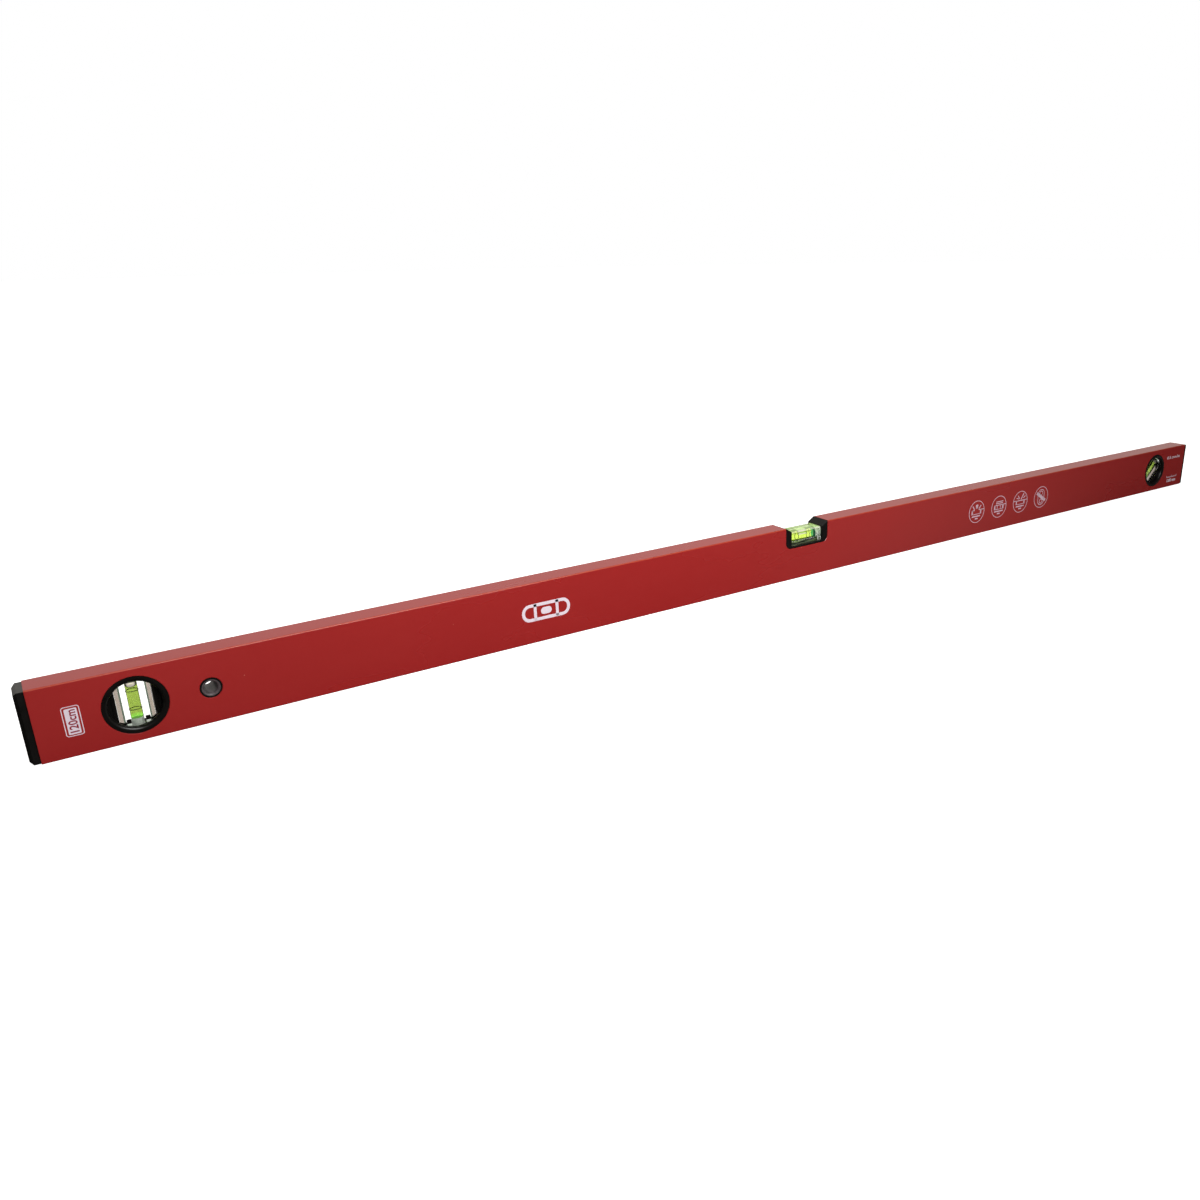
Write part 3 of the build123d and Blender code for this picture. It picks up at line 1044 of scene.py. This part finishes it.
@dataclass
class FacePrint:
    """Printing on the front face, as thin solids of ink, drawn in X and Z on the face."""

    palette: Palette
    ink: float = 0.03 * MM
    ring_radius: float = 11.5 * MM
    ring_line: float = 0.65 * MM
    ring_height: float = 23.8 * MM
    ring_places: tuple[float, ...] = (225.9 * MM, 259.9 * MM, 293.8 * MM, 327.7 * MM)
    label_at: Pair = (-574.1 * MM, 23.1 * MM)
    vial_sign_at: Pair = (-259.8 * MM, 24.55 * MM)
    accuracy_at: Pair = (572.8 * MM, 35.9 * MM)
    ruler_at: Pair = (574.2 * MM, 9.4 * MM)
    ruler_height: float = 2.2 * MM
    ruler_line: Pair = (20.5 * MM, 0.5 * MM)
    tick_pitch: float = 2.0 * MM
    tick_line: float = 0.45 * MM
    tick_heights: Pair = (1.4 * MM, 2.4 * MM)
    length_drop: float = 1.6 * MM

    def on_face(self, x: float, z: float, turn_deg: float = 0.0) -> Matrix:
        """The place of a flat drawing, made in XY, on the front face.

        Args:
            x: where the drawing's origin goes along the tool.
            z: its height above the base.
            turn_deg: how far the drawing is turned, anticlockwise.

        Returns:
            The matrix from the drawing to the frame.
        """
        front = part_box("body_extrusion")[0].y
        upright = Matrix.Rotation(math.pi / 2, 4, "X") @ Matrix.Rotation(math.radians(turn_deg), 4, "Z")
        return Matrix.Translation((x, front, z)) @ upright

    def bar(self, x: float, y: float, width: float, height: float, corner: float = 0.0) -> Piece:
        """Draw a filled rectangle.

        Args:
            x: its middle along X.
            y: its middle along Y.
            width: its size along X.
            height: its size along Y.
            corner: the radius of its corners.

        Returns:
            The drawing as a thin solid.
        """
        low = Vector((x - width / 2, y - height / 2, 0))
        piece = add_box(low, Vector((x + width / 2, y + height / 2, self.ink)))
        if corner:
            with editing(piece, "EDGE", lambda e: abs((e.verts[0].co - e.verts[1].co).z) > self.ink / 2):
                bpy.ops.mesh.bevel(offset=corner, segments=8, profile=0.5, affect="EDGES")
        return piece

    def stroke(self, start: Vector, end: Vector, width: float) -> Piece:
        """Draw a straight stroke between two points.

        Args:
            start: where the stroke starts.
            end: where it ends.
            width: the stroke's width.

        Returns:
            The stroke as a thin solid.
        """
        reach = end - start
        piece = self.bar(0.0, 0.0, reach.length + width / 2, width)
        middle = (start + end) / 2
        turn = Matrix.Rotation(math.atan2(reach.y, reach.x), 4, "Z")
        piece.data.transform(Matrix.Translation((middle.x, middle.y, 0.0)) @ turn)
        return piece

    def hollow(self, piece: Piece, line: float) -> Piece:
        """Open a filled drawing so that only its outline is left.

        Args:
            piece: the filled drawing.
            line: the width of the outline.

        Returns:
            The same drawing.
        """
        with editing(piece, "FACE", lambda f: abs(f.normal.z) > ALONG):
            bpy.ops.mesh.inset(thickness=line, use_boundary=True)
            bpy.ops.mesh.bridge_edge_loops()
        return piece

    def ring(self, radius: float, line: float, y: float = 0.0) -> Piece:
        """Draw a circle.

        Args:
            radius: its outer radius.
            line: the width of its line.
            y: its centre along Y.

        Returns:
            The circle as a thin solid.
        """
        piece = self.hollow(add_rod(radius, 0.0, self.ink, Axis.Z, 72), line)
        piece.data.transform(Matrix.Translation((0.0, y, 0.0)))
        return piece

    def lettering(self, text: str, width: float, height: float, weight: float = 0.0) -> Piece:
        """Set a short line of type, centred on the origin.

        Args:
            text: the characters.
            width: the line's length.
            height: the height of its characters.
            weight: how far the outlines are made bolder, in parts of the type's size.

        Returns:
            The line as a thin solid.
        """
        deselect_all()
        bpy.ops.object.text_add(location=(0, 0, 0))
        line = bpy.context.object
        line.data.body = text
        line.data.offset = weight
        line.data.extrude = 0.5
        line.data.resolution_u = 4
        bpy.ops.object.convert(target="MESH")
        piece = bpy.context.object
        with editing(piece, "VERT"):
            bpy.ops.mesh.remove_doubles(threshold=0.0005)
            bpy.ops.mesh.normals_make_consistent(inside=False)
        spots = list(zip(*(vertex.co for vertex in piece.data.vertices)))
        low, high = (Vector([*map(extreme, spots)]) for extreme in (min, max))
        size = high - low
        scale = Matrix.Diagonal((width / size.x, height / size.y, self.ink / size.z, 1.0))
        middle = Vector(((low.x + high.x) / 2, (low.y + high.y) / 2, low.z))
        piece.data.transform(scale @ Matrix.Translation(-middle))
        return piece

    def finish(self, parts: Sequence[Piece], name: str, place: Matrix, ink: Material) -> None:
        """Join a drawing's parts and put it on the face.

        Args:
            parts: the drawing's parts.
            name: the piece's name.
            place: its place on the face.
            ink: its ink.
        """
        piece = join_pieces(parts)
        dress(piece, ink)
        mount(settle(piece, name, place))

    def size_label(self) -> None:
        """Print the length on an upright plate in a fine outline, near the left end."""
        frame = self.hollow(self.bar(0.0, 0.0, 19.4 * MM, 9.7 * MM, 1.6 * MM), 0.48 * MM)
        plate = self.bar(-0.15 * MM, 0.0, 16.7 * MM, 6.7 * MM, 0.7 * MM)
        place = self.on_face(*self.label_at, 90.0)
        self.finish((frame, plate), "label_plate", place, self.palette.print_white)
        digits = self.lettering("120cm", 14.8 * MM, 4.9 * MM, 0.02)
        above = Matrix.Translation((0.0, -self.ink, 0.0))
        self.finish((digits,), "label_length", above @ place, self.palette.print_red)

    def vial_sign(self) -> None:
        """Print a bold sign of a lying vial: its outline, two lines and its bubble."""
        glass = self.hollow(self.bar(0.0, 0.0, 40.5 * MM, 13.9 * MM, 6.6 * MM), 2.5 * MM)
        parts = [glass, self.bar(0.0, 0.0, 9.0 * MM, 5.4 * MM, 2.5 * MM)]
        for side in (-1, 1):
            parts.append(self.bar(side * 9.2 * MM, 0.0, 2.4 * MM, 13.0 * MM))
        self.finish(parts, "vial_sign", self.on_face(*self.vial_sign_at), self.palette.print_white)

    def pictograms(self) -> None:
        """Print the four ringed signs in the right half."""
        for place, sign in zip(self.ring_places, Pictogram, strict=True):
            parts = [self.ring(self.ring_radius, self.ring_line)]
            if sign is Pictogram.CROSSED:
                parts.append(self.hollow(self.bar(0.0, 0.0, 10.6 * MM, 17.0 * MM, 4.9 * MM), 0.7 * MM))
                parts += [self.ring(2.6 * MM, 0.7 * MM, side * 4.4 * MM) for side in (-1, 1)]
            for x0, y0, x1, y1, width in sign.value:
                start, end = Vector((x0, y0, 0.0)) * MM, Vector((x1, y1, 0.0)) * MM
                parts.append(self.stroke(start, end, width * MM))
            name = f"sign_{sign.name.lower()}"
            self.finish(parts, name, self.on_face(place, self.ring_height), self.palette.print_thin)

    def end_scale(self) -> None:
        """Print the accuracy, a short ruler and the length near the right end."""
        white = self.palette.print_white
        accuracy = self.lettering("0.5 mm/m", 26.0 * MM, 3.6 * MM, 0.02)
        self.finish((accuracy,), "accuracy", self.on_face(*self.accuracy_at), white)
        ruler = [self.bar(0.0, self.ruler_height, *self.ruler_line)]
        for tick in range(-5, 6):
            tall = self.tick_heights[tick % 5 == 0]
            middle = self.ruler_height + tall / 2
            ruler.append(self.bar(tick * self.tick_pitch, middle, self.tick_line, tall))
        length = self.lettering("1200 mm", 18.0 * MM, 3.8 * MM, 0.04)
        length.data.transform(Matrix.Translation((0.0, -self.length_drop, 0.0)))
        self.finish(ruler + [length], "end_ruler", self.on_face(*self.ruler_at), white)

    def build(self) -> None:
        """Print everything."""
        self.size_label()
        self.vial_sign()
        self.pictograms()
        self.end_scale()


@dataclass
class Studio:
    """Pale floor, soft light and the camera."""

    camera_at: Triple = (-580.515 * MM, -676.362 * MM, 287.098 * MM)
    heading_deg: float = 34.603
    down_deg: float = 19.723
    roll_deg: float = -0.915
    lens: float = 30.646
    shift: Pair = (-0.08075, 0.00561)
    warm_white: Colour = (1.0, 0.97, 0.90)
    seen_through: Colour = (1.0, 0.96, 0.93)
    sky_through: float = 0.72
    horizon: Pair = (-0.02, 0.0)
    soft_depth: Slope = (-0.1, 0.45, 0.045, 0.80)
    soft_height: Slope = (-0.15, 0.12, 0.0, 1.0)
    soft_rays: Slope = (0.0, 1.0, 1.10, 0.87)
    panel_light: float = 0.50
    panel_start: Slope = (0.63, 0.68, 0.0, 1.0)
    panel_end: Slope = (0.755, 0.78, 1.0, 0.0)
    key_at: Triple = (-0.2, -0.58, 0.58)
    key_aim: Triple = (-0.2, 0.0, 0.0)
    key_size: Pair = (0.6, 0.4)
    key_power: float = 6.6
    floor_radius: float = 12.0
    floor_seen: Colour = (0.90, 0.90, 0.90)
    floor_lit: Colour = (0.35, 0.33, 0.31)
    floor_glow: float = 0.95
    floor_bounce: float = 0.10

    def camera(self) -> None:
        """Make the camera and set it as the scene's."""
        data = bpy.data.cameras.new("camera")
        data.sensor_width = 36.0
        data.lens = self.lens
        data.shift_x, data.shift_y = self.shift
        data.clip_start = 0.01
        camera = bpy.data.objects.new("camera", data)
        bpy.context.scene.collection.objects.link(camera)
        turn = Matrix.Rotation(math.radians(-self.heading_deg), 4, "Z")
        turn @= Matrix.Rotation(math.radians(90.0 - self.down_deg), 4, "X")
        turn @= Matrix.Rotation(math.radians(self.roll_deg), 4, "Z")
        camera.matrix_world = Matrix.Translation(self.camera_at) @ turn
        bpy.context.scene.camera = camera

    def floor(self) -> None:
        """Lay a wide pale floor: white to the eye, and dim where it lights the tool."""
        deselect_all()
        bpy.ops.mesh.primitive_circle_add(
            vertices=64, radius=self.floor_radius, fill_type="NGON", location=(0, 0, 0)
        )
        floor = bpy.context.object
        floor.name = "floor"
        sheet = FinishSheet("pale_floor")
        bounce = sheet.add("LightPath", {}, "Is Diffuse Ray")
        colour = sheet.mix(bounce, self.floor_seen, self.floor_lit)
        glow = sheet.ramp(bounce, (0.0, 1.0, self.floor_glow, self.floor_bounce), "LINEAR")
        sheet.shade(Base_Color=colour, Roughness=0.9, Specular_IOR_Level=0.0)
        sheet.shade(Emission_Color=(1.0, 1.0, 1.0), Emission_Strength=glow)
        dress(floor, sheet.material)
        floor.visible_glossy = False

    def world(self) -> None:
        """Make the surround: white to the eye, soft light from behind and above, dark in front."""
        world = bpy.data.worlds.new("surround")
        world.use_nodes = True
        sheet = NodeSheet(world.node_tree)
        across, depth, height = sheet.split(sheet.add("TexCoord", {}, "Generated"))
        ray = sheet.add("LightPath", {}).node.outputs
        soft = sheet.maths(
            "MULTIPLY",
            sheet.ramp(depth, self.soft_depth),
            sheet.ramp(height, self.soft_height),
            sheet.ramp(ray["Is Glossy Ray"], self.soft_rays),
        )
        panel = sheet.maths(
            "MULTIPLY",
            sheet.ramp(height, (*self.horizon, self.panel_light, 0.0)),
            sheet.ramp(depth, (*self.horizon, 1.0, 0.0)),
            sheet.ramp(across, self.panel_start),
            sheet.ramp(across, self.panel_end),
            ray["Is Glossy Ray"],
        )
        strength = sheet.maths("ADD", soft, panel)
        through = sheet.ramp(height, (*self.horizon, 1.0, self.sky_through))
        lit = sheet.add("Background", {"Color": self.warm_white, "Strength": strength})
        beyond = sheet.add("Background", {"Color": self.seen_through, "Strength": through})
        white = sheet.add("Background", {"Color": (1.0, 1.0, 1.0), "Strength": 1.0})
        mixed = sheet.add("MixShader", {0: ray["Is Transmission Ray"], 1: lit, 2: beyond})
        sheet.close("World", sheet.add("MixShader", {0: ray["Is Camera Ray"], 1: mixed, 2: white}))
        bpy.context.scene.world = world

    def key_light(self) -> None:
        """Hang a softbox that neither the camera nor the clear pieces see."""
        data = bpy.data.lights.new("key_light", "AREA")
        data.shape = "RECTANGLE"
        data.size, data.size_y = self.key_size
        data.energy = self.key_power
        light = bpy.data.objects.new("key_light", data)
        bpy.context.scene.collection.objects.link(light)
        light.location = self.key_at
        aim = Vector(self.key_aim) - Vector(self.key_at)
        light.rotation_euler = aim.to_track_quat("-Z", "Y").to_euler()
        light.visible_camera = light.visible_transmission = False

    def build(self) -> None:
        """Set the whole studio up."""
        self.camera()
        self.floor()
        self.world()
        self.key_light()
        bpy.context.scene.view_settings.view_transform = "Standard"


def main() -> None:
    """Build the visual model round the frame."""
    logging.basicConfig(level=logging.INFO, format="%(message)s", stream=sys.stdout)
    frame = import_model()
    palette = Palette()
    Studio().build()
    Extrusion(palette).build(frame["nodes"])
    VialUnit("plumb", 0.0, palette).build(frame["nodes"])
    VialUnit("angle", 45.0, palette).build(frame["nodes"])
    TopVial(palette).build(frame["nodes"])
    FacePrint(palette).build()


if __name__ == "__main__":
    main()
